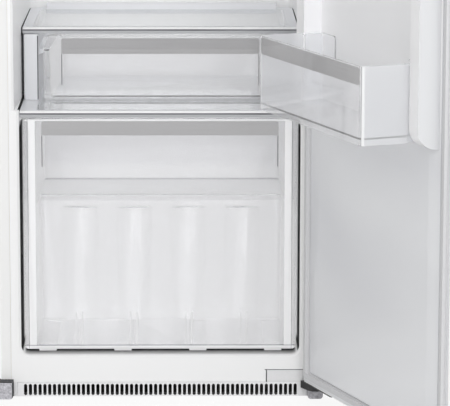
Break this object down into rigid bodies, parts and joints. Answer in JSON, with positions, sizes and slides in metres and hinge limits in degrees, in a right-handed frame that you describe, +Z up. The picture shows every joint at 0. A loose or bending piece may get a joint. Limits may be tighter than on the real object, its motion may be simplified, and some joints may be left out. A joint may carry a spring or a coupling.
{
  "type": "built-in refrigerator",
  "caption": "Tall built-in refrigerator with its door open, glass shelves, clear crisper and drawer, door bins, slotted base grille and a rear condenser over a compressor",
  "frame": {"origin": "on the floor, in the plane of the cabinet's front flanges, midway between the fixing screws of the two corner brackets", "axes": "+X runs across the front to the hinge side, +Y into the cabinet, +Z up"},
  "size_m": [0.7791, 1.036, 1.772],
  "materials": {
    "white_paint": "satin",
    "bare_steel": "satin",
    "white_liner": "satin",
    "white_plastic": "satin",
    "foam": "matte",
    "clear_plastic": "gloss",
    "grey_band": "satin",
    "frosted_cover": "matte",
    "shelf_glass": "gloss",
    "grey_plastic": "matte",
    "black_plastic": "matte",
    "black_enamel": "satin",
    "mount_rubber": "matte",
    "seal_vinyl": "matte",
    "copper": "satin",
    "rolled_aluminium": "satin"
  },
  "bodies": {
    "cabinet": {"back_panel": "bare_steel", "base_tray": "bare_steel", "compressor": "black_enamel", "compressor_mounts": "mount_rubber", "condenser": "black_enamel", "control_housing": "white_plastic", "corner_bracket_left": "grey_plastic", "corner_bracket_right": "grey_plastic", "drain_tube": "grey_plastic", "drip_tray": "grey_plastic", "evaporator_plate": "rolled_aluminium", "feet": "grey_plastic", "filter_dryer": "copper", "front_sill": "white_liner", "guide_frame_left": "white_plastic", "guide_frame_right": "white_plastic", "hinge_arms": "black_plastic", "hinge_pins": "bare_steel", "inner_liner": "white_liner", "insulation": "foam", "lamp_cover": "frosted_cover", "lower_hinge_plate": "bare_steel", "middle_shelf_frame": "white_plastic", "middle_shelf_glass": "shelf_glass", "side_panel_left": "white_paint", "side_panel_right": "white_paint", "terminal_box": "black_plastic", "top_panel": "white_paint", "top_shelf_frame": "white_plastic", "top_shelf_glass": "shelf_glass", "upper_hinge_plate": "bare_steel", "upper_shelf_a_frame": "white_plastic", "upper_shelf_a_glass": "shelf_glass", "upper_shelf_b_frame": "white_plastic", "upper_shelf_b_glass": "shelf_glass", "upper_shelf_c_frame": "white_plastic", "upper_shelf_c_glass": "shelf_glass", "ventilation_grille": "white_plastic"},
    "door": {"door_skin": "white_paint", "door_liner": "white_liner", "door_insulation": "foam", "door_seal": "seal_vinyl", "lower_hinge_carrier": "black_plastic", "upper_hinge_carrier": "black_plastic", "front_slides": "grey_plastic"},
    "crisper": {"crisper_box": "clear_plastic", "crisper_band": "grey_band"},
    "upper_drawer": {"upper_drawer_box": "clear_plastic", "upper_drawer_band": "grey_band"},
    "bottle_bin": {"bottle_bin": "clear_plastic", "bottle_bin_band": "grey_band"},
    "door_bin_a": {"door_bin_a": "clear_plastic", "door_bin_a_band": "grey_band"},
    "door_bin_b": {"door_bin_b": "clear_plastic", "door_bin_b_band": "grey_band"},
    "door_bin_c": {"door_bin_c": "clear_plastic", "door_bin_c_band": "grey_band"},
    "button_cooling": {"button_cooling": "white_plastic"},
    "button_temperature": {"button_temperature": "white_plastic"}
  },
  "joints": [
    {"name": "door_hinge", "type": "hinge", "parent": "cabinet", "child": "door", "pos_m": [0.27, -0.024, 0.887], "axis": [0, 0, 1], "range_deg": [-111.4, 3.6]},
    {"name": "crisper_slide", "type": "slide", "parent": "cabinet", "child": "crisper", "axis": [0, -1, 0], "range_m": [0, 0.22]},
    {"name": "upper_drawer_slide", "type": "slide", "parent": "cabinet", "child": "upper_drawer", "axis": [0, -1, 0], "range_m": [0, 0.22]},
    {"name": "bottle_bin_lift", "type": "slide", "parent": "door", "child": "bottle_bin", "axis": [0, 0, 1], "range_m": [0, 0.03]},
    {"name": "door_bin_a_lift", "type": "slide", "parent": "door", "child": "door_bin_a", "axis": [0, 0, 1], "range_m": [0, 0.03]},
    {"name": "door_bin_b_lift", "type": "slide", "parent": "door", "child": "door_bin_b", "axis": [0, 0, 1], "range_m": [0, 0.03]},
    {"name": "door_bin_c_lift", "type": "slide", "parent": "door", "child": "door_bin_c", "axis": [0, 0, 1], "range_m": [0, 0.03]},
    {"name": "button_cooling_press", "type": "slide", "parent": "cabinet", "child": "button_cooling", "axis": [0, 1, 0], "range_m": [0, 0.0015], "stiffness_N_per_m": 400, "springref_m": -0.001},
    {"name": "button_temperature_press", "type": "slide", "parent": "cabinet", "child": "button_temperature", "axis": [0, 1, 0], "range_m": [0, 0.0015], "stiffness_N_per_m": 400, "springref_m": -0.001}
  ]
}
